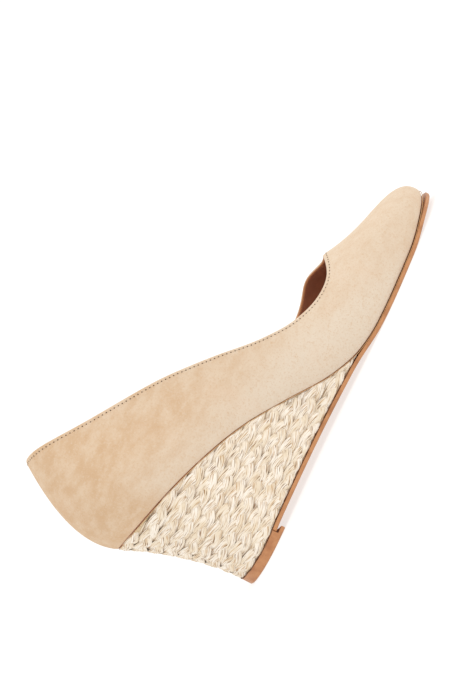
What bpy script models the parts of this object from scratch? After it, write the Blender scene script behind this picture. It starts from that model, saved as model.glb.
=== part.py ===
# A woman's wedge pump: suede upper, raffia-wrapped wedge, leather outsole and heel top piece.
# Metres, +Z up, toe towards +X. The origin is under the middle of the heel's top piece.
import bmesh
import bpy
import numpy as np

# Driving sizes
SHOE_LENGTH = 0.236          # feather edge in plan, back of the seat to the tip of the toe
BALL_WIDTH = 0.076           # feather edge across the ball
HEEL_HEIGHT = 0.0625         # ground to the feather edge at the back of the seat
BACK_HEIGHT = 0.0610         # feather edge to the top of the collar, at the back
TOE_SPRING = 0.0055          # lift of the feather edge at the tip of the toe
UPPER_WALL = 0.0020          # suede, stiffener and lining together
INSOLE_THICKNESS = 0.0030    # board with its sock
OUTSOLE_THICKNESS = 0.0019
OUTSOLE_MARGIN = 0.0008      # how far the outsole stands out past the feather edge
TOP_PIECE_THICKNESS = 0.0046  # at the middle of its length
TOP_PIECE_LENGTH = 0.0250
LIP_LENGTH = 0.0038          # stepped lip at the front of the top piece
BASE_SWEEP = 0.0006          # the heel's base curves up this much at its back and its front
SHANK_RUN = 0.0900           # outsole under the wedge, ahead of the top piece
SHANK_LIFT = 0.0056          # height that its upper face is drawn towards there
SHANK_END = 0.0043           # height of its upper face at the end of that run
SHANK_BLEND = 0.0018         # depth over which it eases into the tread
LIP_GAP = 0.0008             # slot between the lip and the outsole's tail
BRAID_PITCH = 0.0066         # height of one braided row round the wedge
BRAID_RELIEF = 0.0009        # how far a row swells out of the wedge
WEDGE_TIP_THICKNESS = 0.0010
SEAM_GAP = 0.0003            # clearance between pieces that meet
EDGE_BEVEL = 0.0005          # broken edges of outsole, insole and top piece

OUTER = -1                   # +1 puts the outer side of the foot at +Y, -1 at -Y
WEDGE_HOLLOW = 1.8           # power of the wedge's side, from its base out to the feather edge

# Mesh fineness
SHOE_LOOP = 96               # points round upper and insole
SOLE_LOOP = 84               # points round the outsole
WEDGE_LOOP = 76              # points round the wedge
TOP_PIECE_LOOP = 44
UP_WALL = 12                 # steps from feather edge to topline
STEPS_PER_ROW = 4            # rings in one braided row
PROFILE_STEP = 0.0025        # length of one facet along the profiles that trim the wedge

# One row for each rib of the last, from the back of the seat round the outer side to the toe
# and back along the inner side. Lengths are shares: x of SHOE_LENGTH, y of half BALL_WIDTH,
# rise of BACK_HEIGHT above the foot bed at that x, pulls of the rib's own chord.
# Angles are degrees from level: swell at the feather edge, close at the topline.
RIB_COLUMNS = ("name", "edge_x", "edge_y", "base_x", "base_y", "top_x", "top_y",
               "rise", "swell", "close", "low_pull", "high_pull")
RIBS = (
    ("back",             0.000,  0.00, 0.060,  0.00, 0.072,  0.00, 1.005, 66, 54, 0.32, 0.35),
    ("heel corner out",  0.038,  0.47, 0.085,  0.36, 0.090,  0.33, 0.980, 66, 64, 0.33, 0.34),
    ("heel out",         0.150,  0.69, 0.160,  0.52, 0.170,  0.55, 0.855, 66, 80, 0.34, 0.33),
    ("waist out",        0.400,  0.67, 0.400,  0.61, 0.425,  0.72, 0.655, 64, 84, 0.36, 0.33),
    ("ball out",         0.640,  0.95, 0.640,  0.95, 0.603,  0.77, 0.510, 68, 56, 0.40, 0.36),
    ("toe out",          0.820,  0.82, 0.820,  0.82, 0.684,  0.68, 0.530, 72, 38, 0.36, 0.42),
    ("toe corner out",   0.945,  0.53, 0.945,  0.53, 0.732,  0.40, 0.592, 75, 32, 0.29, 0.43),
    ("tip",              1.000, -0.05, 1.000, -0.05, 0.749, -0.03, 0.560, 78, 29, 0.28, 0.43),
    ("toe corner in",    0.946, -0.60, 0.946, -0.60, 0.731, -0.41, 0.592, 75, 32, 0.29, 0.43),
    ("toe in",           0.820, -0.95, 0.820, -0.95, 0.684, -0.70, 0.530, 72, 38, 0.36, 0.42),
    ("ball in",          0.690, -1.03, 0.690, -1.03, 0.603, -0.79, 0.510, 68, 56, 0.40, 0.36),
    ("waist in",         0.410, -0.58, 0.410, -0.52, 0.425, -0.68, 0.655, 64, 84, 0.36, 0.33),
    ("heel in",          0.150, -0.68, 0.160, -0.51, 0.170, -0.54, 0.855, 66, 80, 0.34, 0.33),
    ("heel corner in",   0.038, -0.47, 0.085, -0.36, 0.090, -0.33, 0.980, 66, 64, 0.33, 0.34),
)

# Foot bed along the shoe: x as a share of SHOE_LENGTH, drop as a share of the heel's rise over
# the ball, spring as a share of TOE_SPRING.
BED_COLUMNS = ("name", "x", "drop", "spring")
BED = (
    ("seat back",   0.00, 1.000, 0.00),
    ("seat",        0.15, 0.836, 0.00),
    ("seat front",  0.30, 0.601, 0.00),
    ("shank",       0.40, 0.358, 0.00),
    ("shank front", 0.48, 0.145, 0.00),
    ("wedge tip",   0.55, 0.034, 0.00),
    ("tread back",  0.61, 0.004, 0.00),
    ("tread",       0.68, 0.000, 0.00),
    ("tread front", 0.80, 0.000, 0.00),
    ("toe",         0.89, 0.000, 0.35),
    ("tip",         1.00, 0.000, 1.00),
)


def column(table, columns, name):
    return np.array([row[columns.index(name)] for row in table], float)


def closed_spline(knots, values, at):
    # cubic through values at knots, smooth all the way round a line of length 1
    count = len(knots)
    span = np.diff(np.append(knots, knots[0] + 1))
    slope = (np.roll(values, -1) - values) / span
    system = np.zeros((count, count))
    for i in range(count):
        system[i, i - 1] += span[i - 1]
        system[i, i] += 2 * (span[i - 1] + span[i])
        system[i, (i + 1) % count] += span[i]
    bend = np.linalg.solve(system, 6 * (slope - np.roll(slope, 1)))
    at = np.mod(at - knots[0], 1) + knots[0]
    i = np.clip(np.searchsorted(knots, at, side="right") - 1, 0, count - 1)
    after = (i + 1) % count
    h = span[i]
    left = at - knots[i]
    right = h - left
    return ((bend[i] * right ** 3 + bend[after] * left ** 3) / (6 * h)
            + (values[i] / h - bend[i] * h / 6) * right
            + (values[after] / h - bend[after] * h / 6) * left)


def steady_curve(knots, values, at):
    # cubic through values that never overshoots them
    span = np.diff(knots)
    slope = np.diff(values) / span
    tangent = np.zeros(len(knots))
    tangent[0], tangent[-1] = slope[0], slope[-1]
    for i in range(1, len(knots) - 1):
        if slope[i - 1] * slope[i] > 0:
            near, far = 2 * span[i] + span[i - 1], span[i] + 2 * span[i - 1]
            tangent[i] = (near + far) / (near / slope[i - 1] + far / slope[i])
    at = np.clip(at, knots[0], knots[-1])
    i = np.clip(np.searchsorted(knots, at, side="right") - 1, 0, len(span) - 1)
    t = (at - knots[i]) / span[i]
    return (values[i] * (1 + 2 * t) * (1 - t) ** 2 + values[i + 1] * t ** 2 * (3 - 2 * t)
            + span[i] * (tangent[i] * t * (1 - t) ** 2 - tangent[i + 1] * t ** 2 * (1 - t)))


# Places round the shoe run from 0 at the back over the outer side and the toe to 1. The ribs
# lie at the feather edge's own length in plan.
HALF_BALL = BALL_WIDTH / 2
EDGE_POINTS = np.column_stack((column(RIBS, RIB_COLUMNS, "edge_x") * SHOE_LENGTH,
                               column(RIBS, RIB_COLUMNS, "edge_y") * HALF_BALL))
EDGE_STEPS = np.linalg.norm(np.roll(EDGE_POINTS, -1, axis=0) - EDGE_POINTS, axis=1)
RIB_KNOTS = (np.cumsum(EDGE_STEPS) - EDGE_STEPS) / EDGE_STEPS.sum()
TIP_PLACE = RIB_KNOTS[[row[0] for row in RIBS].index("tip")]
SMALL = 1e-4


def rib_value(name, around):
    return closed_spline(RIB_KNOTS, column(RIBS, RIB_COLUMNS, name), around)


def plan_line(kind, around):
    # the feather edge, the wedge's base or the topline, in plan
    return np.column_stack((rib_value(kind + "_x", around) * SHOE_LENGTH,
                            rib_value(kind + "_y", around) * HALF_BALL))


def plan_outward(kind, around):
    along = plan_line(kind, around + SMALL) - plan_line(kind, around - SMALL)
    away = np.column_stack((-along[:, 1], along[:, 0]))
    return away / np.linalg.norm(away, axis=1)[:, None]


def place_at(kind, x, side):
    # where a plan line passes x, on the outer side (+1) or the inner side (-1)
    around = np.linspace(0 if side > 0 else 1, TIP_PLACE, 500)
    return np.interp(x, plan_line(kind, around)[:, 0], around)


def both_sides(start_out, turn_out, turn_in, end_in, count):
    # places from start_out to the turn and on to end_in, half of them on each side
    half = count // 2
    going = np.arange(half) / (half - 0.5)
    coming = going[::-1]
    return np.concatenate((start_out + (turn_out - start_out) * going,
                           end_in + (turn_in - end_in) * coming))


def whole_loop(count):
    step = (np.arange(count // 2) + 0.5) / (count // 2)
    return np.concatenate((TIP_PLACE * step, TIP_PLACE + (1 - TIP_PLACE) * step))


# Heights along the shoe
TREAD_LEVEL = OUTSOLE_THICKNESS + SEAM_GAP
BASE_BACK = RIBS[0][RIB_COLUMNS.index("base_x")] * SHOE_LENGTH
BASE_FRONT = BASE_BACK + TOP_PIECE_LENGTH
LIP_BACK = BASE_FRONT - LIP_LENGTH
ORIGIN_X = (BASE_BACK + BASE_FRONT) / 2


def bed(x):
    # the feather edge and the insole's underside
    share = np.asarray(x, float) / SHOE_LENGTH
    knots = column(BED, BED_COLUMNS, "x")
    drop = steady_curve(knots, column(BED, BED_COLUMNS, "drop"), share)
    spring = steady_curve(knots, column(BED, BED_COLUMNS, "spring"), share)
    return TREAD_LEVEL + (HEEL_HEIGHT - TREAD_LEVEL) * drop + TOE_SPRING * spring


def sole_top(x):
    # upper face of top piece and outsole: swept heel base, shank, then close under the bed
    x = np.asarray(x, float)
    from_middle = np.clip((x - ORIGIN_X) / (TOP_PIECE_LENGTH / 2), -1, 1)
    along = np.clip((x - BASE_FRONT) / SHANK_RUN, 0, 1)
    base = TOP_PIECE_THICKNESS + BASE_SWEEP * from_middle ** 2
    arch = (base * (1 - along) ** 2 + 2 * SHANK_LIFT * along * (1 - along)
            + SHANK_END * along ** 2)
    under_bed = bed(x) - SEAM_GAP
    ease = np.clip(1 - np.abs(arch - under_bed) / SHANK_BLEND, 0, 1)
    return np.minimum(arch, under_bed) - SHANK_BLEND / 4 * ease ** 2


def wedge_tip():
    # where the wedge, between the outsole and the bed, has thinned to its tip
    x = np.linspace(BASE_FRONT, SHOE_LENGTH, 1000)
    depth = bed(x) - sole_top(x) - 2 * SEAM_GAP
    return x[np.argmax(depth < WEDGE_TIP_THICKNESS)]


WEDGE_TIP = wedge_tip()


def upper_skin(around, up):
    # outside of the upper: one curve from feather edge to topline at each place
    foot, rim = plan_line("edge", around), plan_line("top", around)
    foot = np.column_stack((foot, bed(foot[:, 0])))
    rim = np.column_stack((rim, bed(rim[:, 0]) + rib_value("rise", around) * BACK_HEIGHT))
    chord = np.linalg.norm(rim - foot, axis=1)[:, None]
    up_axis = np.array((0.0, 0.0, 1.0))
    swell, close = (np.radians(rib_value(name, around))[:, None] for name in ("swell", "close"))
    edge_out = np.pad(plan_outward("edge", around), ((0, 0), (0, 1)))
    rim_out = np.pad(plan_outward("top", around), ((0, 0), (0, 1)))
    low = foot + rib_value("low_pull", around)[:, None] * chord * (
        np.cos(swell) * edge_out + np.sin(swell) * up_axis)
    high = rim + rib_value("high_pull", around)[:, None] * chord * (
        np.cos(close) * rim_out - np.sin(close) * up_axis)
    t = np.asarray(up)[:, None, None]
    return (foot * (1 - t) ** 3 + 3 * low * t * (1 - t) ** 2
            + 3 * high * t ** 2 * (1 - t) + rim * t ** 3)


def upper_inward(around, up):
    along = upper_skin(around + SMALL, up) - upper_skin(around - SMALL, up)
    rising = upper_skin(around, up + SMALL) - upper_skin(around, up - SMALL)
    inward = np.cross(along, rising)
    return inward / np.linalg.norm(inward, axis=2)[:, :, None]


# Modelling helpers
def principled(name, colour, roughness):
    material = bpy.data.materials.new(name)
    material.use_nodes = True
    shader = material.node_tree.nodes["Principled BSDF"]
    shader.inputs["Base Color"].default_value = (*colour, 1)
    shader.inputs["Roughness"].default_value = roughness
    shader.inputs["Metallic"].default_value = 0
    return material


def new_object(name, mesh_data, material, parent):
    bmesh.ops.recalc_face_normals(mesh_data, faces=mesh_data.faces)
    mesh = bpy.data.meshes.new(name)
    mesh_data.to_mesh(mesh)
    mesh_data.free()
    item = bpy.data.objects.new(name, mesh)
    bpy.context.scene.collection.objects.link(item)
    item.parent = parent
    if material:
        mesh.materials.append(material)
        mesh.shade_smooth()
        mesh.set_sharp_from_angle(angle=np.radians(40))
    return item


def lofted(rings, tube=False):
    # skin over rings of equal count; its ends are closed by strips across, or meet as a tube
    mesh_data = bmesh.new()
    loops = [[mesh_data.verts.new((x, y * OUTER, z)) for x, y, z in ring] for ring in rings]
    pairs = list(zip(loops, loops[1:] + loops[:1] if tube else loops[1:]))
    for low, high in pairs:
        for i in range(len(low)):
            mesh_data.faces.new((low[i - 1], low[i], high[i], high[i - 1]))
    for loop in () if tube else (loops[0], loops[-1]):
        for i in range(len(loop) // 2 - 1):
            mesh_data.faces.new((loop[i], loop[i + 1], loop[-i - 2], loop[-i - 1]))
    return mesh_data


def with_height(line, height):
    return np.column_stack((line, np.broadcast_to(height, len(line))))


def trim(item, name, outline):
    # takes an outline in x and z, extruded across the shoe, away from a solid
    mesh_data = bmesh.new()
    face = mesh_data.faces.new([mesh_data.verts.new((x, -BALL_WIDTH, z)) for x, z in outline])
    swept = bmesh.ops.extrude_face_region(mesh_data, geom=[face])["geom"]
    bmesh.ops.translate(mesh_data, vec=(0, 2 * BALL_WIDTH, 0),
                        verts=[part for part in swept if isinstance(part, bmesh.types.BMVert)])
    cutter = new_object(name, mesh_data, None, item.parent)
    cutter.hide_render = True
    cutter.display_type = "WIRE"
    cut = item.modifiers.new(name, "BOOLEAN")
    cut.operation = "DIFFERENCE"
    cut.object = cutter


# Pieces
def make_upper(parent):
    around = whole_loop(SHOE_LOOP)
    up = np.linspace(0, 1, UP_WALL + 1)
    outside = upper_skin(around, up)
    inside = outside + UPPER_WALL * upper_inward(around, up)
    lower = plan_line("edge", around) - UPPER_WALL * plan_outward("edge", around)
    inside[0] = with_height(lower, bed(lower[:, 0]))
    over_rim = 2 * outside[-1:] - upper_skin(around, up[-1:] - UPPER_WALL / 4 / BACK_HEIGHT)
    crown = over_rim + UPPER_WALL / 2 * upper_inward(around, up[-1:])
    rings = np.concatenate((outside, crown, inside[::-1]))
    suede = principled("suede", (0.50, 0.36, 0.25), 0.90)
    return new_object("upper", lofted(rings, tube=True), suede, parent)


def make_insole(parent):
    around = whole_loop(SHOE_LOOP)
    away = plan_outward("edge", around)
    full = plan_line("edge", around) - away * (UPPER_WALL + SEAM_GAP)
    inset = full - away * EDGE_BEVEL
    rings = (with_height(full, bed(full[:, 0])),
             with_height(full, bed(full[:, 0]) + INSOLE_THICKNESS - EDGE_BEVEL),
             with_height(inset, bed(inset[:, 0]) + INSOLE_THICKNESS))
    sock = principled("sock leather", (0.62, 0.40, 0.27), 0.45)
    return new_object("insole", lofted(rings), sock, parent)


def braid_swell(z):
    # 0 at the middle of a row, -1 in the groove between two rows
    row_share = (z - TOP_PIECE_THICKNESS) / BRAID_PITCH % 1
    return np.sqrt(1 - (2 * row_share - 1) ** 2) - 1


def make_wedge(parent):
    around = both_sides(place_at("edge", WEDGE_TIP, 1), 0, 1, place_at("edge", WEDGE_TIP, -1),
                        WEDGE_LOOP)
    base, edge = plan_line("base", around), plan_line("edge", around)
    away = plan_outward("edge", around)
    low, high = sole_top(base[:, 0]), bed(edge[:, 0])
    rings = []
    for step in range(int(np.ceil(HEEL_HEIGHT / BRAID_PITCH * STEPS_PER_ROW)) + 1):
        z = TOP_PIECE_THICKNESS + (step - 1) * BRAID_PITCH / STEPS_PER_ROW
        share = np.clip((z - low) / np.maximum(high - low, SMALL), 0, 1) ** WEDGE_HOLLOW
        line = base + (edge - base) * share[:, None] + away * BRAID_RELIEF * braid_swell(z)
        rings.append(with_height(line, z))
    raffia = principled("raffia", (0.66, 0.53, 0.34), 0.65)
    wedge = new_object("wedge", lofted(rings), raffia, parent)
    beyond = HEEL_HEIGHT
    x = np.arange(-beyond, WEDGE_TIP + beyond, PROFILE_STEP)
    trim(wedge, "trim_under_bed", [(x[0], 2 * beyond), *zip(x, bed(x) - SEAM_GAP),
                                   (x[-1], 2 * beyond)])
    trim(wedge, "trim_over_sole", [(x[0], -beyond), *zip(x, sole_top(x) + SEAM_GAP),
                                   (x[-1], -beyond)])
    return wedge


def make_outsole(parent):
    tail = LIP_BACK + SEAM_GAP
    around = both_sides(place_at("base", tail, 1), TIP_PLACE, TIP_PLACE,
                        place_at("base", tail, -1), SOLE_LOOP)
    away = plan_outward("base", around)
    full = plan_line("base", around) + away * OUTSOLE_MARGIN
    inset = full - away * EDGE_BEVEL
    bottom = sole_top(full[:, 0]) - OUTSOLE_THICKNESS
    rings = (with_height(inset, bottom), with_height(full, bottom + EDGE_BEVEL),
             with_height(full, bottom + OUTSOLE_THICKNESS))
    leather = principled("outsole leather", (0.50, 0.33, 0.20), 0.50)
    return new_object("outsole", lofted(rings), leather, parent)


def make_top_piece(parent):
    around = both_sides(place_at("base", BASE_FRONT, 1), 0, 1, place_at("base", BASE_FRONT, -1),
                        TOP_PIECE_LOOP)
    away = plan_outward("base", around)
    full = plan_line("base", around)
    inset = full - away * EDGE_BEVEL
    rings = (with_height(inset, 0), with_height(full, EDGE_BEVEL),
             with_height(full, sole_top(full[:, 0])))
    rubber = principled("top piece", (0.55, 0.40, 0.27), 0.40)
    top_piece = new_object("top_piece", lofted(rings), rubber, parent)
    lip_top = TOP_PIECE_THICKNESS - OUTSOLE_THICKNESS - LIP_GAP
    ahead, above = BASE_FRONT + LIP_LENGTH, 2 * TOP_PIECE_THICKNESS
    trim(top_piece, "trim_lip", ((LIP_BACK, lip_top), (ahead, lip_top), (ahead, above),
                                 (LIP_BACK, above)))
    return top_piece


for leftover in list(bpy.data.objects):
    bpy.data.objects.remove(leftover)
shoe = bpy.data.objects.new("shoe", None)
bpy.context.scene.collection.objects.link(shoe)
shoe.location.x = -ORIGIN_X
for make in (make_upper, make_insole, make_wedge, make_outsole, make_top_piece):
    make(shoe)
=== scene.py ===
import math
import random

import bmesh
import bpy
import numpy as np
from mathutils import Matrix, Vector
from mathutils.bvhtree import BVHTree


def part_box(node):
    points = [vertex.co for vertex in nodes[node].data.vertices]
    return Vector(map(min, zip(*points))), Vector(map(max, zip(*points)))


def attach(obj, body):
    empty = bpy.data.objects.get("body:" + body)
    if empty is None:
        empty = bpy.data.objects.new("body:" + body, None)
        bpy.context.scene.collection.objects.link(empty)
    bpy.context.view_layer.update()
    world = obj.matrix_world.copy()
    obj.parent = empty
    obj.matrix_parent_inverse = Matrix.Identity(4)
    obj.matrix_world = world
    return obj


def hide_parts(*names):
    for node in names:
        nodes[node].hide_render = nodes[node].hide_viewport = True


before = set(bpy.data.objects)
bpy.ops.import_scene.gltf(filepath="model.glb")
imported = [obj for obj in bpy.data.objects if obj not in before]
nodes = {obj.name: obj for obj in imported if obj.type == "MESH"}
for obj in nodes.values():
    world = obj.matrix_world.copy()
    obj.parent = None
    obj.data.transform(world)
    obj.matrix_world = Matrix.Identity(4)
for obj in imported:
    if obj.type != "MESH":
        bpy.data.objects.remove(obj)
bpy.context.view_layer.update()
print("frame loaded:", ", ".join(sorted(nodes)))


# Shader maths: a Flow is one socket, and sums of flows add their Math nodes
class Flow:
    def __init__(self, paint, socket):
        self.paint = paint
        self.socket = socket

    def math(self, operation, *others):
        return self.paint.add("ShaderNodeMath", {"operation": operation},
                              dict(enumerate((self, *others))))

    def __add__(self, other):
        return self.math("ADD", other)

    def __mul__(self, other):
        return self.math("MULTIPLY", other)

    def __sub__(self, other):
        return self.math("SUBTRACT", other)

    __radd__ = __add__


class Paint:
    def __init__(self, name):
        self.material = bpy.data.materials.new(name)
        self.material.use_nodes = True
        self.tree = self.material.node_tree
        self.surface = self.tree.nodes["Principled BSDF"]
        self.place = self.add("ShaderNodeTexCoord", out="Object")

    def feed(self, socket, value):
        if isinstance(value, Flow):
            self.tree.links.new(value.socket, socket)
        else:
            socket.default_value = value

    def add(self, kind, settings=None, sockets=None, out=0):
        node = self.tree.nodes.new(kind)
        for name, value in (settings or {}).items():
            setattr(node, name, value)
        for name, value in (sockets or {}).items():
            self.feed(node.inputs[name], value)
        return Flow(self, node.outputs[out])

    def noise(self, size, detail=2, stretch=(1, 1, 1), where=None, roughness=0.5):
        # cloudy values round 0.5 whose clouds are about size across, longer where stretched
        grown = self.add("ShaderNodeVectorMath", {"operation": "MULTIPLY"},
                         {0: where or self.place, 1: [1 / (size * s) for s in stretch]})
        return self.add("ShaderNodeTexNoise", None,
                        {"Vector": grown, "Scale": 1, "Detail": detail, "Roughness": roughness})

    def step(self, value, low, high):
        return self.add("ShaderNodeMapRange", {"interpolation_type": "SMOOTHSTEP"},
                        {"Value": value, "From Min": low, "From Max": high})

    def blend(self, mask, low, high):
        return self.add("ShaderNodeMix", {"data_type": "RGBA"}, {0: mask, 6: low, 7: high}, out=2)

    def bump(self, height, distance, strength=1, under=None):
        sockets = {"Height": height, "Distance": distance, "Strength": strength}
        if under:
            sockets["Normal"] = under
        return self.add("ShaderNodeBump", None, sockets)

    def finish(self, **sockets):
        for name, value in sockets.items():
            self.feed(self.surface.inputs[name.replace("_", " ")], value)
        return self.material


def tint(red, green, blue):
    # a colour as a picture shows it, 0 to 255, as linear light
    linear = [((c / 255 + 0.055) / 1.055) ** 2.4 for c in (red, green, blue)]
    return (*linear, 1)


# The upper's stitches and rim, whose depths the suede and the lining read too
upperSizes = {
    "stitchDepth": 0.0016,      # from the topline down along the suede
    "stitchPitch": 0.0021,
    "stitchLength": 0.00125,
    "threadRadius": 0.00014,
    "threadWidth": 1.2,         # a bead's width over its height
    "threadRise": 0.15,         # a bead's middle above the suede, as a share of its radius
    "holeRadius": 0.00031,
    "holeLength": 1.15,         # a pinhole's length over its width
    "holeDepth": 0.55,          # a pinhole's depth as a share of the thread's radius
    "grooveWidth": 0.0011,      # suede pressed in beside the stitches
    "grooveDepth": 0.00012,
    "rimInner": 0.0016,         # the lining's lighter edge: full down to here, gone at rimOuter
    "rimOuter": 0.0027,
    "leastDepth": 0.0005,       # map depth of every point that isn't on the topline itself
    "sharpAngle": math.radians(50),     # the outside ends where faces meet more sharply
}


# Materials
def makeSuede():
    look = {
        "tan": tint(202, 169, 134),
        "sand": tint(213, 187, 158),
        "pale": tint(218, 202, 182),
        "rose": tint(220, 193, 167),
        "toeLightFrom": -0.01,      # x where painted light starts to make the suede paler towards the toe
        "toeLightTo": 0.11,
        "seamLow": 0.060,       # height of the seam at the heel, with painted light making the suede paler just above it
        "seamHigh": 0.084,
        "seamFall": 0.45,       # how steeply the seam comes down towards the toe
        "napHeight": 0.00022,
    }
    paint = Paint("suede")
    clouds = paint.noise(0.030, detail=3)
    brushed = paint.noise(0.007, detail=4, stretch=(1.5, 1, 0.8), roughness=0.6)
    mottle = paint.noise(0.0026, detail=4, roughness=0.7)
    flecks = paint.noise(0.0011, detail=4, roughness=0.7)
    nap = paint.noise(0.00085, detail=2, roughness=0.75)
    x = paint.add("ShaderNodeSeparateXYZ", None, {0: paint.place}, out="X")
    z = paint.add("ShaderNodeSeparateXYZ", None, {0: paint.place}, out="Z")
    # painted light: the suede is paler towards the toe, where the light comes from, and just
    # above the seam, but not at the heel's back corner, which keeps painted shade
    lie = paint.step(x + (clouds - 0.5) * 0.06, look["toeLightFrom"], look["toeLightTo"])
    low = paint.step(z + x * look["seamFall"] + (clouds - 0.5) * 0.012,
                     look["seamHigh"], look["seamLow"]) * paint.step(x, -0.020, 0.004)
    tone = paint.blend(paint.step(brushed, 0.28, 0.72), look["tan"], look["sand"])
    # painted light, paler towards the toe and above the seam, mixed with the random brushed tone
    tone = paint.blend(lie * 0.62 + low * 0.62 + (brushed - 0.5) * 0.45, tone, look["pale"])
    tone = paint.blend(paint.step(clouds, 0.5, 0.75) * 0.30, tone, look["rose"])
    tone = paint.blend(paint.step(mottle, 0.50, 0.72) * 0.28, tone, look["tan"])
    tone = paint.blend(paint.step(flecks, 0.54, 0.74) * 0.34, tone, look["tan"])
    tone = paint.blend(paint.step(nap, 0.52, 0.74) * 0.36, tone, look["pale"])
    tone = paint.blend(paint.step(nap, 0.48, 0.30) * 0.55, tone, look["tan"])
    down = paint.add("ShaderNodeUVMap", {"uv_map": "topline"})
    down = paint.add("ShaderNodeSeparateXYZ", None, {0: down}, out="Y")
    seam = (down - upperSizes["stitchDepth"]).math("ABSOLUTE")
    groove = paint.step(seam, 0.0, upperSizes["grooveWidth"])
    soft = paint.bump(flecks * 0.6 + nap * 0.4, look["napHeight"], 0.8)
    pressed = paint.bump(groove, upperSizes["grooveDepth"], 1, under=soft)
    return paint.finish(Base_Color=tone, Roughness=0.95, Normal=pressed, Sheen_Weight=0.18,
                        Sheen_Roughness=0.5, Sheen_Tint=look["pale"], Specular_IOR_Level=0.12)


def makeLining():
    paint = Paint("lining leather")
    grain = paint.noise(0.0009, detail=4, roughness=0.6)
    mottle = paint.noise(0.012, detail=2)
    colour = paint.blend(paint.step(mottle, 0.35, 0.7), tint(150, 97, 74), tint(171, 114, 88))
    down = paint.add("ShaderNodeUVMap", {"uv_map": "topline"})
    down = paint.add("ShaderNodeSeparateXYZ", None, {0: down}, out="Y")
    rim = paint.step(down, upperSizes["rimOuter"], upperSizes["rimInner"])
    colour = paint.blend(rim, colour, tint(198, 142, 98))
    return paint.finish(Base_Color=colour, Roughness=0.55 + grain * 0.1,
                        Normal=paint.bump(grain, 0.00008, 0.5))


def makeSockLeather():
    paint = Paint("sock leather")
    grain = paint.noise(0.0008, detail=4, roughness=0.6)
    mottle = paint.noise(0.025, detail=3)
    creases = paint.noise(0.004, detail=2, stretch=(5, 1, 1))
    colour = paint.blend(paint.step(mottle, 0.3, 0.7), tint(243, 213, 187), tint(250, 228, 206))
    return paint.finish(Base_Color=colour, Roughness=0.36 + grain * 0.14, Coat_Weight=0.12,
                        Coat_Roughness=0.35,
                        Normal=paint.bump(grain * 0.3 + creases * 0.7, 0.00012, 0.5))


def makeSoleLeather(name, face, deep, roughness):
    paint = Paint(name)
    fibres = paint.noise(0.0007, detail=3, stretch=(6, 6, 0.6), roughness=0.6)
    rubs = paint.noise(0.006, detail=4, roughness=0.65)
    colour = paint.blend(paint.step(rubs, 0.35, 0.75), tint(*face), tint(*deep))
    colour = paint.blend(paint.step(fibres, 0.55, 0.8) * 0.4, colour, tint(*deep))
    return paint.finish(Base_Color=colour, Roughness=roughness + rubs * 0.12,
                        Normal=paint.bump(fibres * 0.6 + rubs * 0.4, 0.00006, 0.6))


def makeRaffia():
    look = {
        "cream": tint(243, 234, 220),
        "straw": tint(230, 214, 189),
        "tan": tint(190, 152, 106),
        "brown": tint(126, 88, 50),
        # painted shade where a strand dips under the others
        "deep": tint(140, 104, 66),
    }
    paint = Paint("raffia")
    along = paint.add("ShaderNodeUVMap", {"uv_map": "strand"})
    fibre = paint.noise(0.0010, detail=2, stretch=(8, 0.38, 1), where=along, roughness=0.6)
    fine = paint.noise(0.0007, detail=1, stretch=(8, 0.44, 1), where=along)
    bands = paint.noise(0.007, detail=2, stretch=(1.4, 0.3, 1), where=along)
    colour = paint.blend(paint.step(bands, 0.35, 0.65), look["straw"], look["cream"])
    colour = paint.blend(paint.step(fibre, 0.51, 0.66) * 0.85, colour, look["tan"])
    colour = paint.blend(paint.step(fine, 0.58, 0.68) * 0.85, colour, look["brown"])
    tuckShadeMask = paint.add("ShaderNodeAttribute", {"attribute_name": "tuckShade"}, out="Fac")
    # painted shade: a strand turns towards the deep colour where it dips under the others
    colour = paint.blend(tuckShadeMask * (0.55 + fibre * 0.5), colour, look["deep"])
    ridges = paint.bump(fibre * 0.7 + fine * 0.3, 0.00022, 0.9)
    return paint.finish(Base_Color=colour, Roughness=0.58 + fine * 0.2, Normal=ridges,
                        Specular_IOR_Level=0.35)


def makePlain(name, colour, roughness):
    paint = Paint(name)
    speckle = paint.noise(0.0006, detail=2)
    tone = paint.blend(paint.step(speckle, 0.3, 0.7), tint(*colour),
                       tint(*[0.86 * c for c in colour]))
    return paint.finish(Base_Color=tone, Roughness=roughness)


suede = makeSuede()
lining = makeLining()
sockLeather = makeSockLeather()
soleLeather = makeSoleLeather("sole leather", (194, 136, 88), (166, 108, 64), 0.42)
plateRubber = makeSoleLeather("top piece rubber", (192, 134, 88), (166, 106, 64), 0.40)
raffia = makeRaffia()
print("materials made")


# Mesh helpers
def mergedCopy(node):
    shape = bmesh.new()
    shape.from_mesh(nodes[node].data)
    bmesh.ops.remove_doubles(shape, verts=shape.verts, dist=1e-6)
    bmesh.ops.join_triangles(shape, faces=shape.faces, angle_face_threshold=math.pi,
                             angle_shape_threshold=math.pi, topology_influence=1.2)
    return shape


def addPiece(name, shape, materials, smooth=True):
    mesh = bpy.data.meshes.new(name)
    shape.to_mesh(mesh)
    shape.free()
    for material in materials:
        mesh.materials.append(material)
    if smooth:
        mesh.shade_smooth()
    piece = bpy.data.objects.new(name, mesh)
    bpy.context.scene.collection.objects.link(piece)
    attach(piece, "root")
    return piece


def subdivide(piece, levels):
    smoother = piece.modifiers.new("smoother", "SUBSURF")
    smoother.levels = levels
    smoother.render_levels = levels


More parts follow.
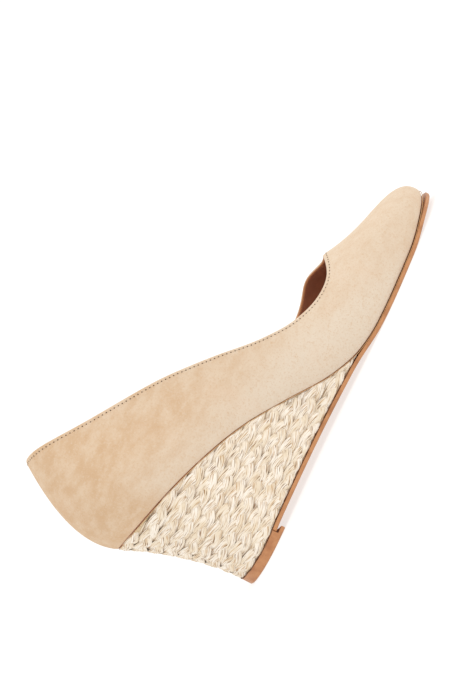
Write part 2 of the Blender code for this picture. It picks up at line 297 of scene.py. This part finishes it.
def smoothNode(node, name, material):
    # a finer copy of a solid: rounder in plan, its edges kept and softly broken
    shape = mergedCopy(node)
    crease = shape.edges.layers.float.new("crease_edge")
    for edge in shape.edges:
        if len(edge.link_faces) == 2 and edge.calc_face_angle() > edgeSizes["sharpAngle"]:
            edge[crease] = 1
    piece = addPiece(name, shape, [material])
    subdivide(piece, 2)
    broken = piece.modifiers.new("broken edges", "BEVEL")
    broken.width = edgeSizes[name]
    broken.segments = edgeSizes["segments"]
    broken.limit_method = "ANGLE"
    broken.angle_limit = edgeSizes["sharpAngle"]
    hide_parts(node)


def evaluatedTree(piece):
    return BVHTree.FromObject(piece, bpy.context.evaluated_depsgraph_get())


# Upper: the CAD loft as quads, with the depth below the topline as its map
def crownLine(shape):
    # the topline's own row of the quad grid, from its highest point round the shoe
    start = max(shape.verts, key=lambda v: v.co.z)
    edge = max(start.link_edges, key=lambda e: abs(e.other_vert(start).co.y - start.co.y))
    line = [start]
    vert = edge.other_vert(start)
    while vert != start and len(line) < len(shape.verts):
        line.append(vert)
        beside = set(edge.link_faces)
        edge = next(e for e in vert.link_edges if not beside & set(e.link_faces))
        vert = edge.other_vert(vert)
    return line


def neighbour(vert, direction):
    # the joined vertex that lies furthest that way
    ends = [e.other_vert(vert) for e in vert.link_edges]
    return max(ends, key=lambda v: (v.co - vert.co).normalized().dot(direction))


def outsideFaces(start, crown):
    # every face reached from one outside face without crossing the topline or a sharp edge
    found, fresh = {start}, [start]
    crown = set(crown)
    while fresh:
        for edge in fresh.pop().edges:
            if set(edge.verts) <= crown or edge.calc_face_angle() > upperSizes["sharpAngle"]:
                continue
            for face in edge.link_faces:
                if face not in found:
                    found.add(face)
                    fresh.append(face)
    return found


def orderedLine(edges):
    # the points of a closed chain of edges, from its highest one round by the outer side
    edges = set(edges)
    start = max({v for e in edges for v in e.verts}, key=lambda v: (v.co.z, v.co.y))
    vert = min((e.other_vert(start) for e in start.link_edges if e in edges),
               key=lambda v: v.co.y)
    line, before = [start.co.copy()], start
    while vert != start and len(line) <= len(edges):
        line.append(vert.co.copy())
        ends = [e.other_vert(vert) for e in vert.link_edges if e in edges]
        before, vert = vert, next(v for v in ends if v != before)
    return line


def makeUpper():
    # returns the piece, the line where its stitches run and the suede's lower edge
    shape = mergedCopy("upper")
    shape.normal_update()
    crown = crownLine(shape)
    middle = sum((v.co for v in crown), Vector()) / len(crown)
    line = []
    for i, vert in enumerate(crown):
        ahead = crown[(i + 1) % len(crown)].co - crown[i - 1].co
        side = ahead.cross(Vector((0, 0, 1))).normalized()
        if side.dot(vert.co - middle) < 0:
            side = -side
        rim = neighbour(vert, side)
        below = neighbour(rim, (rim.co - vert.co).normalized())
        left = upperSizes["stitchDepth"] - (rim.co - vert.co).length
        line.append(rim.co + (below.co - rim.co).normalized() * left)
        if i == 0:
            first = max(rim.link_faces, key=lambda f: f.normal.dot(side))
    outside = outsideFaces(first, crown)
    hem = [e for f in outside for e in f.edges if len(outside & set(e.link_faces)) == 1
           and not set(e.verts) <= set(crown)]
    feather = orderedLine(hem)
    outside |= {f for v in crown for f in v.link_faces}
    chart = shape.loops.layers.uv.new("topline")
    places = np.array([v.co for v in crown])
    for face in shape.faces:
        face.material_index = 0 if face in outside else 1
        for loop in face.loops:
            apart = np.linalg.norm(places - np.array(loop.vert.co), axis=1)
            depth = 0 if loop.vert in crown else max(apart.min(), upperSizes["leastDepth"])
            loop[chart].uv = (0, depth)
    piece = addPiece("upperSuede", shape, [suede, lining])
    subdivide(piece, 2)
    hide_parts("upper")
    return piece, line, feather


upperPiece, stitchLine, featherLine = makeUpper()
print("upper made, columns", len(stitchLine))


def evenPoints(points, spacing, closed=False):
    # points at even steps along a polyline
    points = np.array(points)
    if closed:
        points = np.vstack((points, points[:1]))
    run = np.concatenate(([0], np.cumsum(np.linalg.norm(np.diff(points, axis=0), axis=1))))
    count = int(round(run[-1] / spacing))
    at = np.arange(count) * run[-1] / count if closed else np.linspace(0, run[-1], count + 1)
    return np.column_stack([np.interp(at, run, points[:, k]) for k in range(points.shape[1])])


def stitchPlaces():
    surface = evaluatedTree(upperPiece)
    places = []
    points = evenPoints(stitchLine, upperSizes["stitchPitch"], closed=True)
    for i, point in enumerate(points):
        spot, normal = surface.find_nearest(Vector(point))[:2]
        ahead = Vector(points[(i + 1) % len(points)] - points[i - 1])
        ahead = (ahead - normal * ahead.dot(normal)).normalized()
        turn = Matrix((ahead, normal.cross(ahead), normal)).transposed().to_4x4()
        places.append((spot, normal, turn))
    return places


def makeStitches():
    # a bead of thread between two pinholes, all along the topline
    thread = bmesh.new()
    holes = bmesh.new()
    radius, wide = upperSizes["threadRadius"], upperSizes["holeRadius"]
    bead = Matrix.Diagonal((upperSizes["stitchLength"] / 2, radius * upperSizes["threadWidth"],
                            radius, 1))
    pit = Matrix.Diagonal((wide * upperSizes["holeLength"], wide,
                           radius * upperSizes["holeDepth"], 1))
    end = Matrix.Translation(Vector((upperSizes["stitchPitch"] / 2, 0, 0)))
    for spot, normal, turn in stitchPlaces():
        lie = Matrix.Translation(spot + normal * radius * upperSizes["threadRise"]) @ turn
        bmesh.ops.create_uvsphere(thread, u_segments=8, v_segments=6, radius=1,
                                  matrix=lie @ bead)
        bmesh.ops.create_uvsphere(holes, u_segments=8, v_segments=6, radius=1,
                                  matrix=lie @ end @ pit)
    addPiece("toplineStitches", thread, [makePlain("thread", (226, 202, 172), 0.8)])
    # the pinholes' dark colour is painted shade inside the stitch holes
    addPiece("toplinePinholes", holes, [makePlain("pinhole shade", (104, 76, 56), 0.9)])


makeStitches()
print("stitches made")

# Sock, sole and top piece: each edge's bevel width under the piece's name
edgeSizes = {"sharpAngle": math.radians(40), "segments": 3,
             "sock": 0.0004, "sole": 0.00025, "heelPlate": 0.0004}
smoothNode("insole", "sock", sockLeather)
smoothNode("outsole", "sole", soleLeather)
smoothNode("top_piece", "heelPlate", plateRubber)
print("sock, sole and top piece made")


# Raffia: rows of a three-strand plait round the wedge, cut off by the seam and by the sole
braid = {
    "pitch": 0.0066,         # height of a row, as the wedge's ribs
    "start": 0.0046,         # lower edge of the first row
    "rows": 9,
    "strands": 3,
    "period": 0.0270,        # length over which a strand returns to the same edge
    "sway": 0.00182,         # strand centre to the middle of the plait
    "lift": 0.00036,         # strand above or below the plait's middle depth
    "width": 0.0046,
    "leastWidth": 0.90,      # share of the width at the plait's edges
    "widthGain": 0.14,       # share gained where the strand crosses the middle
    "thickness": 0.00088,
    "ridge": 0.10,           # every other point of a ring out by this share, the next one in
    "sink": 0.00052,         # middle of the plait, inside the wedge's outline
    "runOn": 0.014,          # length past the seam, before it is cut off
    "along": 0.0011,         # from ring to ring
    "around": 14,            # points in a ring
    "smoothing": 12,         # rounds of smoothing of a row's path
    "leanSmoothing": 30,
    "leanLeast": -0.2,       # sideways over upwards, from the row below
    "leanMost": 0.9,
    "overSeam": 0.0036,      # a strand ends this far above the seam, pressed in below it
    "pastTip": 0.0035,       # and this far past the wedge's front tip
    "pressAtSeam": 0.4,      # share of what stands past the seam that is pressed inwards
    "pressAtSole": 0.9,
    "tuckShadeFrom": 0.36,        # height in the plait below which a strand gets painted shade, 1 at its face
    "tuckShadeRange": 0.65,
    "fibreSpread": 1.5,      # divides the way round a ring in the fibre chart
    "chartAlong": 7,         # reach of the random start in the fibre chart
    "chartAcross": 5,
    "backing": 0.0011,       # core below the wedge's outline
    "underSeam": 0.0001,     # top of the raffia below the suede's edge
    "overSole": 0.0003,      # underside taken no higher than this over the outsole's top
    "aside": 0.0007,         # probes beside the middle line, where the mesh has an edge
    "probes": 300,
    "seed": 5,
}

# how far a strand's measures wander, as a share or in radians, and over which lengths
swings = {
    "phase": (0.22, (0.031, 0.047, 0.078)),
    "sway": (0.07, (0.012, 0.027)),
    "width": (0.07, (0.009, 0.021)),
    "thickness": (0.10, (0.007, 0.016)),
    "ridge": (0.09, (0.006, 0.013)),
}


def sectionLine(shape, z):
    # the wedge's outline at one height, from its outer front end round the back to the inner one
    cut = shape.copy()
    geometry = [*cut.verts, *cut.edges, *cut.faces]
    made = bmesh.ops.bisect_plane(cut, geom=geometry, dist=1e-7, plane_co=(0, 0, z),
                                  plane_no=(0, 0, 1))["geom_cut"]
    edges = [part for part in made if isinstance(part, bmesh.types.BMEdge)]
    edge = edges[0]
    edges = set(edges)
    start, vert = edge.verts
    line = [start.co.copy()]
    while vert != start and len(line) <= len(edges):
        line.append(vert.co.copy())
        edge = next(e for e in vert.link_edges if e in edges and e != edge)
        vert = edge.other_vert(vert)
    cut.free()
    line = np.array(line)[:, :2]
    line = np.roll(line, -(line[:, 0] - line[:, 1]).argmax(), axis=0)
    inner = (line[:, 0] + line[:, 1]).argmax()
    if line[:inner + 1, 0].min() > line[inner:, 0].min():
        line = np.roll(line[::-1], 1, axis=0)
        inner = len(line) - inner
    return line[:inner + 1]


def smoothLine(line, times):
    for _ in range(times):
        line[1:-1] = (line[:-2] + 2 * line[1:-1] + line[2:]) / 4
    return line


def rowPath(line):
    # smoothed, and both ends run on beside the seam
    line = smoothLine(evenPoints(line, braid["along"]), braid["smoothing"])[2:-2]
    seam = evenPoints([tuple(p[:2]) for p in featherLine], spacing=0.001, closed=True)
    ends = []
    for end in (line[0], line[-1]):
        side = seam[seam[:, 1] * end[1] > 0]
        start = side[np.linalg.norm(side - end, axis=1).argmin()]
        ahead = side[abs(side[:, 0] - start[0] - braid["runOn"]).argmin()]
        ends.append(end + ahead - start)
    return evenPoints(np.vstack((ends[0], line, ends[1])), braid["along"])


def outwardOf(line):
    ahead = np.gradient(line, axis=0)
    away = np.column_stack((-ahead[:, 1], ahead[:, 0]))
    return away / np.linalg.norm(away, axis=1)[:, None]


def leanOf(line, away, below):
    # how far the wedge's side leans out, from the row below
    apart = np.linalg.norm(line[:, None] - below[None], axis=2)
    nearest = below[apart.argmin(axis=1)]
    lean = np.einsum("ij,ij->i", line - nearest, away) / braid["pitch"]
    lean = np.clip(lean, braid["leanLeast"], braid["leanMost"])
    return smoothLine(lean, braid["leanSmoothing"])


def heightsUnder(shape):
    # the wedge's underside along the shoe's middle line, as lengths and their heights
    tree = BVHTree.FromBMesh(shape)
    xs = np.linspace(*(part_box("wedge")[k][0] for k in (0, 1)), braid["probes"])[2:-2]
    hits = [tree.ray_cast(Vector((x, braid["aside"], -1)), Vector((0, 0, 1)))[0] for x in xs]
    known = np.array([hit is not None for hit in hits])
    low = np.array([hit.z for hit in hits if hit])
    return xs[known], np.minimum(low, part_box("outsole")[1][2] + braid["overSole"])


def seamHeights(path):
    # height of the suede's lower edge beside each point of a row
    feather = evenPoints([tuple(p) for p in featherLine], spacing=0.0007, closed=True)
    apart = np.linalg.norm(path[:, None] - feather[None, :, :2], axis=2)
    return feather[apart.argmin(axis=1), 2] - braid["underSeam"]


def waves(rng, at, lengths):
    # a slow irregular swing between about -1 and 1
    return sum(math.sqrt(1 / len(lengths)) * np.sin(2 * np.pi * (at / length + rng.random()))
               for length in lengths)


def swing(rng, at, measure):
    share, lengths = swings[measure]
    return share * waves(rng, at, lengths)


def strandGrid(rng, path, away, lean, z, turn, limits):
    # one strand's rings of points, with its fibre chart and how deep each point is tucked, as
    # painted shade
    xs, low = limits
    top = seamHeights(path)
    run = np.arange(len(path)) * braid["along"]
    phase = 2 * np.pi * (run / braid["period"] + turn)
    phase = phase + swing(rng, run, "phase")
    lateral = braid["sway"] * np.sin(phase) * (1 + swing(rng, run, "sway"))
    depth = braid["lift"] * np.sin(2 * phase)
    up = np.column_stack((away * lean[:, None], np.ones(len(path))))
    up /= np.linalg.norm(up, axis=1)[:, None]
    out = np.column_stack((away, -lean))
    out /= np.linalg.norm(out, axis=1)[:, None]
    centre = (np.column_stack((path, np.full(len(path), z)))
              + up * lateral[:, None] + out * (depth - braid["sink"])[:, None])
    ahead = np.gradient(centre, axis=0)
    ahead /= np.linalg.norm(ahead, axis=1)[:, None]
    wide = np.cross(out, ahead)
    wide /= np.linalg.norm(wide, axis=1)[:, None]
    kept = np.flatnonzero(centre[:, 2] < top + braid["overSeam"])
    kept = kept[centre[kept, 0] < xs[-1] + braid["pastTip"]]
    angle = 2 * np.pi * np.arange(braid["around"]) / braid["around"]
    width = braid["width"] / 2 * (braid["leastWidth"] + braid["widthGain"] * np.cos(phase) ** 2
                                  + swing(rng, run, "width"))
    thick = braid["thickness"] / 2 * (1 + swing(rng, run, "thickness"))
    ridge = np.stack([1 + braid["ridge"] * (-1) ** k + swing(rng, run, "ridge")
                      for k in range(braid["around"])], axis=1)
    rings = (centre[:, None]
             + wide[:, None] * (width[:, None] * np.cos(angle))[:, :, None]
             + out[:, None] * (thick[:, None] * ridge * np.sin(angle))[:, :, None])
    over = np.maximum(rings[:, :, 2] - top[:, None], 0)
    under = np.maximum(np.interp(rings[:, :, 0], xs, low) - rings[:, :, 2], 0)
    pressed = braid["pressAtSeam"] * over + braid["pressAtSole"] * under
    rings -= out[:, None] * pressed[:, :, None]
    rings[:, :, 2] += under - over
    # painted shade from how low each point lies in the plait
    reach = ((depth[:, None] + thick[:, None] * np.sin(angle))
             / (braid["lift"] + braid["thickness"] / 2))
    tuckShade = np.clip((braid["tuckShadeFrom"] - reach) / braid["tuckShadeRange"], 0, 1)
    lengthwise = run + rng.random() * braid["chartAlong"]
    crosswise = (width[:, None] * angle / braid["fibreSpread"]
                 + rng.random() * braid["chartAcross"])
    chart = np.stack(np.broadcast_arrays(lengthwise[:, None], crosswise), axis=2)
    part = slice(kept.min(), kept.max() + 1)
    return rings[part], chart[part], tuckShade[part]


def addStrand(shape, rings, chart, tuckShade):
    # a grid wrapped into a tube, its ends closed
    count, around = rings.shape[:2]
    made = bmesh.ops.create_grid(shape, x_segments=count - 1, y_segments=around, size=1)["verts"]
    made.sort(key=lambda v: (round((v.co.x + 1) / 2 * (count - 1)),
                             round((v.co.y + 1) / 2 * around)))
    charts = shape.loops.layers.uv["strand"]
    tuckShadeLayer = shape.verts.layers.float["tuckShade"]
    spots = {}
    for k, vert in enumerate(made):
        i, j = divmod(k, around + 1)
        vert.co = rings[i, j % around]
        vert[tuckShadeLayer] = tuckShade[i, j % around]
        spots[vert] = (i, j)
    across = chart[0, 1, 1] - chart[0, 0, 1]
    for face in {f for v in made for f in v.link_faces}:
        for loop in face.loops:
            i, j = spots[loop.vert]
            loop[charts].uv = (chart[i, 0, 0], chart[0, 0, 1] + across * j)
    seam = [v for v in made if spots[v][1] in (0, around)]
    caps = [[v for v in made if spots[v] == (i, j)][0] for i in (0, count - 1)
            for j in range(around)]
    for side in (caps[:around], caps[around:]):
        shape.faces.new(side)
    bmesh.ops.remove_doubles(shape, verts=seam, dist=1e-7)


def makeRaffiaRows():
    # returns the lowest row's path and the wedge's underside, for the glue line
    wedge = mergedCopy("wedge")
    limits = heightsUnder(wedge)
    heights = [braid["start"] + (k + 0.5) * braid["pitch"] for k in range(braid["rows"])]
    lines = [rowPath(sectionLine(wedge, z + 1e-5)) for z in heights]
    wedge.free()
    shape = bmesh.new()
    shape.loops.layers.uv.new("strand")
    shape.verts.layers.float.new("tuckShade")
    rng = random.Random(braid["seed"])
    for k, (z, line) in enumerate(zip(heights, lines)):
        away = outwardOf(line)
        if k:
            lean = leanOf(line, away, lines[k - 1])
        else:
            lean = np.zeros(len(line))
        start = rng.random()
        for strand in range(braid["strands"]):
            turn = start + strand / braid["strands"]
            addStrand(shape, *strandGrid(rng, line, away, lean, z, turn, limits))
    bmesh.ops.recalc_face_normals(shape, faces=shape.faces)
    print("raffia faces", len(shape.faces))
    addPiece("raffiaRows", shape, [raffia])
    return lines[0], limits


def makeWedgeCore():
    # what shows in the chinks of the braid: the wedge's body, drawn in under it
    shape = mergedCopy("wedge")
    shape.normal_update()
    moves = {v: Vector((v.normal.x, v.normal.y, 0)) for v in shape.verts}
    for vert, move in moves.items():
        vert.co -= move * braid["backing"]
    piece = addPiece("wedgeCore", shape, [makePlain("raffia backing", (220, 196, 160), 0.9)],
                     smooth=False)
    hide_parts("wedge")


# Seam and glue lines, two thin round lines along the suede's edge and along the sole
seamSizes = {
    "cordRadius": 0.00016,
    "cordStep": 0.002,
    "inward": 0.00022,          # the cord inside the suede's lower edge
    "below": 0.00012,
    "glueRadius": 0.00022,
    "glueOut": 0.0001,          # the glue line outside the lowest row's path
    "tipGap": 0.001,            # it ends this far behind the wedge's tip
    "wobble": 0.00022,
    "wobbleLengths": (0.005, 0.011),
}


def threadCurve(name, points, radius, closed, material):
    # a thin round line laid along points
    data = bpy.data.curves.new(name, "CURVE")
    data.dimensions = "3D"
    data.bevel_depth = radius
    data.bevel_resolution = 2
    data.use_fill_caps = True
    spline = data.splines.new("POLY")
    spline.points.add(len(points) - 1)
    for spot, point in zip(spline.points, points):
        spot.co = (*point, 1)
    spline.use_cyclic_u = closed
    data.materials.append(material)
    piece = bpy.data.objects.new(name, data)
    bpy.context.scene.collection.objects.link(piece)
    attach(piece, "root")


def makeGlueLine(line, limits):
    # the dark line where the raffia meets the sole and the top piece
    xs, low = limits
    rng = random.Random(braid["seed"] + 1)
    line = line[line[:, 0] < xs[-1] - seamSizes["tipGap"]]
    run = np.arange(len(line)) * braid["along"]
    wobble = seamSizes["wobble"] * waves(rng, run, seamSizes["wobbleLengths"])
    height = np.interp(line[:, 0], xs, low) + wobble
    points = np.column_stack((line + outwardOf(line) * seamSizes["glueOut"], height))
    threadCurve("glueLine", points, seamSizes["glueRadius"], False,
                makePlain("glue edge", (122, 80, 48), 0.7))


def makeSeamCord():
    # the fine brown line between the suede and what is under it, partly the suede's edge and
    # partly painted shade of the gap there
    points = evenPoints([tuple(p) for p in featherLine], seamSizes["cordStep"], closed=True)
    middle = points.mean(axis=0)
    inward = middle - points
    inward[:, 2] = 0
    inward /= np.linalg.norm(inward, axis=1)[:, None]
    points = points + inward * seamSizes["inward"] - np.array((0, 0, seamSizes["below"]))
    threadCurve("seamCord", points, seamSizes["cordRadius"], True,
                makePlain("seam edge and gap shade", (212, 168, 116), 0.8))


lowestRow, underside = makeRaffiaRows()
makeWedgeCore()
makeSeamCord()
makeGlueLine(lowestRow, underside)
print("raffia made")

# Studio: pale floor, white surround, large soft lights
studio = {
    "floorRadius": 6.0,
    "floorBelow": 0.00005,
    "floorColour": (0.34, 0.335, 0.33, 1),
    "glowColour": (1, 0.99, 0.98, 1),      # the floor's own light, which keeps shadows faint
    "glow": 0.71,
    "surround": 1.1,
    "aim": (0.05, 0, 0.05),                # where the lights point
}


def makeStudio():
    shape = bmesh.new()
    bmesh.ops.create_circle(shape, cap_ends=True, segments=96, radius=studio["floorRadius"],
                            matrix=Matrix.Translation((0, 0, -studio["floorBelow"])))
    mesh = bpy.data.meshes.new("floor")
    shape.to_mesh(mesh)
    shape.free()
    floorPaint = Paint("pale floor")
    mesh.materials.append(floorPaint.finish(
        Base_Color=studio["floorColour"], Roughness=0.9, Specular_IOR_Level=0.1,
        Emission_Color=studio["glowColour"], Emission_Strength=studio["glow"]))
    floor = bpy.data.objects.new("floor", mesh)
    bpy.context.scene.collection.objects.link(floor)
    world = bpy.data.worlds.new("surround")
    world.use_nodes = True
    world.node_tree.nodes["Background"].inputs["Color"].default_value = (1, 1, 1, 1)
    world.node_tree.nodes["Background"].inputs["Strength"].default_value = studio["surround"]
    bpy.context.scene.world = world
    bpy.context.scene.view_settings.view_transform = "Standard"


def addSoftLight(name, place, size, watts):
    light = bpy.data.lights.new(name, "AREA")
    light.shape = "DISK"
    light.size = size
    light.energy = watts
    lamp = bpy.data.objects.new(name, light)
    lamp.location = place
    lamp.rotation_mode = "QUATERNION"
    aim = Vector(studio["aim"]) - Vector(place)
    lamp.rotation_quaternion = aim.to_track_quat("-Z", "Y")
    bpy.context.scene.collection.objects.link(lamp)


makeStudio()
addSoftLight("key", place=(0.9, -0.9, 1.1), size=0.8, watts=4)
addSoftLight("top", place=(-0.1, 0.3, 1.4), size=1.0, watts=2)

# Camera: where the photo was taken from, turned and widened to take in the whole shoe
view = {
    "photoTarget": (0.0547, 0, 0.0726),    # what the photo's camera looked at
    "turn": 19.53,                         # degrees, from there to the camera
    "rise": 1.81,
    "distance": 0.776,
    "roll": 62.6,                          # the photo's frame leans this far
    "aim": (0.0860, 0, 0.0560),
    "lens": 84.0,
}


def makeCamera():
    turn, rise = math.radians(view["turn"]), math.radians(view["rise"])
    away = Vector((-math.sin(turn) * math.cos(rise), -math.cos(turn) * math.cos(rise),
                   math.sin(rise)))
    place = Vector(view["photoTarget"]) + away * view["distance"]
    back = (place - Vector(view["aim"])).normalized()
    right = Vector((0, 0, 1)).cross(back).normalized()
    up = back.cross(right)
    roll = math.radians(view["roll"])
    across = right * math.cos(roll) - up * math.sin(roll)
    above = right * math.sin(roll) + up * math.cos(roll)
    data = bpy.data.cameras.new("camera")
    data.lens = view["lens"]
    data.sensor_width = 36
    data.clip_start = 0.01
    camera = bpy.data.objects.new("camera", data)
    bpy.context.scene.collection.objects.link(camera)
    turned = Matrix((across, above, back)).transposed().to_4x4()
    camera.matrix_world = Matrix.Translation(place) @ turned
    bpy.context.scene.camera = camera


makeCamera()
print("scene ready")
